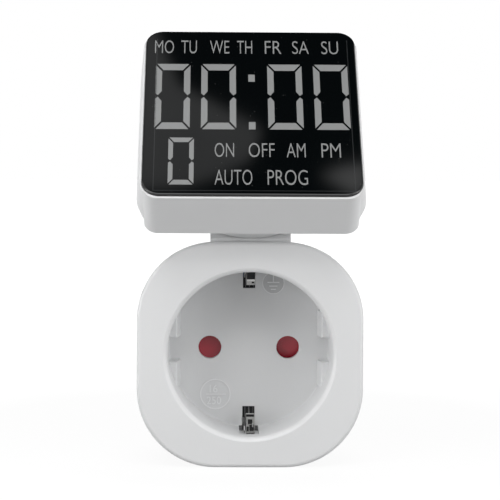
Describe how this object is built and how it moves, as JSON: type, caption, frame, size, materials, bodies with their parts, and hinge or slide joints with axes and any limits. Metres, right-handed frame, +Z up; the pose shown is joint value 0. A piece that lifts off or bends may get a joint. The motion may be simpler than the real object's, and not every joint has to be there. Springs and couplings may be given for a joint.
{
  "type": "plug in timer switch",
  "caption": "Plug-in timer switch: mains plug behind, earthed socket in front, and a clock display head on a neck that tilts and turns.",
  "frame": {"origin": "middle of the plug's engagement face, between its two pins", "axes": "+X to the user's right, -Y towards the user out of the socket, +Y out along the plug pins, +Z up"},
  "size_m": [0.0534, 0.0953, 0.1033],
  "materials": {
    "white_plastic": "fine satin moulded",
    "pale_plastic": "natural moulded",
    "key_plastic": "satin moulded",
    "screw_steel": "zinc plated",
    "spring_steel": "nickel plated strip",
    "pin_metal": "nickel plated brass",
    "contact_brass": "bare strip",
    "red_plastic": "moulded",
    "board_green": "solder mask",
    "relay_blue": "moulded",
    "coil_copper": "wound enamelled wire",
    "film_yellow": "dipped",
    "can_black": "sleeved",
    "loom_grey": "sheathed",
    "window_black": "polished, printed behind",
    "lcd_glass": "polarised cell",
    "zebra_rubber": "striped elastomer"
  },
  "bodies": {
    "housing": {"front_shell": "white_plastic", "rear_shell": "white_plastic", "neck_fork": "white_plastic", "contact_carrier": "pale_plastic", "board_connector": "pale_plastic", "pin_carrier": "pale_plastic", "housing_screws": "screw_steel", "carrier_screws": "screw_steel", "board_screws": "screw_steel", "hinge_pin": "screw_steel", "friction_washers": "screw_steel", "shutter_spring": "screw_steel", "earth_clip_lower": "spring_steel", "earth_clip_upper": "spring_steel", "earth_bridge": "spring_steel", "plug_earth_lower": "spring_steel", "plug_earth_upper": "spring_steel", "earth_pin_socket": "spring_steel", "plug_pin_left": "pin_metal", "plug_pin_right": "pin_metal", "socket_contact_left": "contact_brass", "socket_contact_right": "contact_brass", "power_board": "board_green", "relay_base": "relay_blue", "relay_cover": "relay_blue", "relay_coil": "coil_copper", "film_capacitor": "film_yellow", "electrolytic_capacitor": "can_black", "varistor": "film_yellow", "body_loom": "loom_grey"},
    "bracket": {"tilt_bracket": "white_plastic", "swivel_retainer": "pale_plastic", "retainer_screws": "screw_steel"},
    "head": {"head_front_shell": "white_plastic", "head_rear_cover": "white_plastic", "lcd_frame": "pale_plastic", "head_connector": "pale_plastic", "lcd_reflector": "pale_plastic", "head_screws": "screw_steel", "cell_clip": "screw_steel", "backup_cell": "screw_steel", "quartz_crystal": "screw_steel", "head_board": "board_green", "head_loom": "loom_grey", "display_window": "window_black", "lcd_cell": "lcd_glass", "zebra_strip": "zebra_rubber", "timer_chip": "can_black", "tact_switches": "can_black"},
    "shutter": {"shutter": "red_plastic"},
    "armature": {"relay_armature": "spring_steel"},
    "key_1": {"key_1": "key_plastic"},
    "key_2": {"key_2": "key_plastic"},
    "key_3": {"key_3": "key_plastic"},
    "key_4": {"key_4": "key_plastic"},
    "key_5": {"key_5": "key_plastic"},
    "key_6": {"key_6": "key_plastic"},
    "reset": {"reset_button": "key_plastic"}
  },
  "joints": [
    {"name": "head_tilt", "type": "hinge", "parent": "housing", "child": "bracket", "pos_m": [0, -0.04549, 0.03118], "axis": [-1, 0, 0], "range_deg": [0, 22]},
    {"name": "head_turn", "type": "hinge", "parent": "bracket", "child": "head", "pos_m": [0, -0.04705, 0.04121], "axis": [0, 0.729, -0.6845], "range_deg": [-90, 90]},
    {"name": "shutter_turn", "type": "hinge", "parent": "housing", "child": "shutter", "pos_m": [0, -0.03895, 0], "axis": [0, 1, 0], "range_deg": [0, 38], "stiffness_Nm_per_rad": 0.004, "springref_deg": -11.46},
    {"name": "armature_rock", "type": "hinge", "parent": "housing", "child": "armature", "pos_m": [-0.0063, -0.03125, 0.0118], "axis": [0, 0, 1], "range_deg": [0, 3], "stiffness_Nm_per_rad": 0.02, "springref_deg": -5.73},
    {"name": "key_1_press", "type": "slide", "parent": "head", "child": "key_1", "axis": [0, -0.6845, -0.729], "range_m": [0, 0.0004], "stiffness_N_per_m": 1200, "springref_m": -0.0001},
    {"name": "key_2_press", "type": "slide", "parent": "head", "child": "key_2", "axis": [0, -0.6845, -0.729], "range_m": [0, 0.0004], "stiffness_N_per_m": 1200, "springref_m": -0.0001},
    {"name": "key_3_press", "type": "slide", "parent": "head", "child": "key_3", "axis": [0, -0.6845, -0.729], "range_m": [0, 0.0004], "stiffness_N_per_m": 1200, "springref_m": -0.0001},
    {"name": "key_4_press", "type": "slide", "parent": "head", "child": "key_4", "axis": [0, -0.6845, -0.729], "range_m": [0, 0.0004], "stiffness_N_per_m": 1200, "springref_m": -0.0001},
    {"name": "key_5_press", "type": "slide", "parent": "head", "child": "key_5", "axis": [0, -0.6845, -0.729], "range_m": [0, 0.0004], "stiffness_N_per_m": 1200, "springref_m": -0.0001},
    {"name": "key_6_press", "type": "slide", "parent": "head", "child": "key_6", "axis": [0, -0.6845, -0.729], "range_m": [0, 0.0004], "stiffness_N_per_m": 1200, "springref_m": -0.0001},
    {"name": "reset_press", "type": "slide", "parent": "head", "child": "reset", "axis": [0, -0.6845, -0.729], "range_m": [0, 0.0004], "stiffness_N_per_m": 1200, "springref_m": -0.0001}
  ]
}
